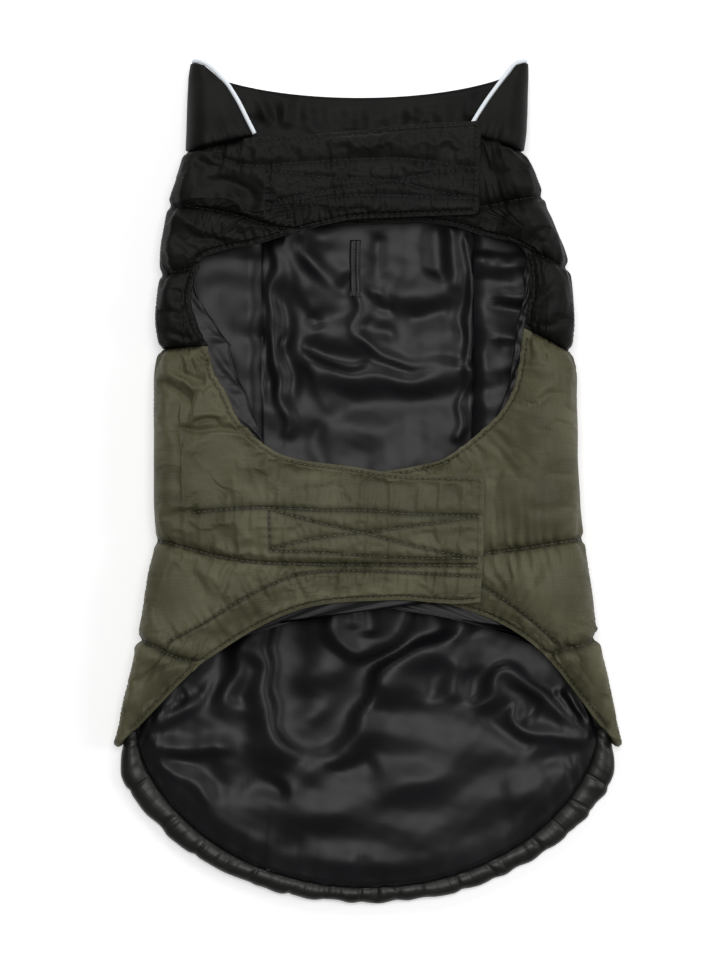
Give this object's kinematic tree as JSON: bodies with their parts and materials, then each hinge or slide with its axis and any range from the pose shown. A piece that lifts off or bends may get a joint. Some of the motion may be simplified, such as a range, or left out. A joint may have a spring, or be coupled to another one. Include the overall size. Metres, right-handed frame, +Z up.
{
  "type": "dog winter coat",
  "caption": "Padded dog coat laid flat on its back: quilted colour-blocked shell, satin lining, stand collar with reflective piping, strap closures and elastic tail hem.",
  "frame": {"origin": "centre of the coat's footprint, on the surface that it lies on", "axes": "+Y towards the collar, +Z up through the belly side, +X towards the side whose straps lie underneath"},
  "size_m": [0.2828, 0.4711, 0.0371],
  "materials": {
    "black_taffeta": "fine woven polyester taffeta, matt with a faint sheen",
    "olive_taffeta": "fine woven polyester taffeta, olive, soft sheen",
    "black_satin": "smooth satin lining, glossy along its folds",
    "reflective_white": "pale reflective tape wrapped round a cord"
  },
  "bodies": {
    "root": {"upper_back": "black_taffeta", "lower_back": "olive_taffeta", "left_upper_flank": "black_taffeta", "right_upper_flank": "black_taffeta", "left_lower_flank": "olive_taffeta", "right_lower_flank": "olive_taffeta", "back_lining": "black_satin", "left_lining": "black_satin", "right_lining": "black_satin", "collar_outer": "black_taffeta", "collar_facing": "black_taffeta", "collar_piping": "reflective_white", "tail_hem": "black_taffeta", "lead_slit_welt": "black_taffeta"}
  },
  "joints": []
}
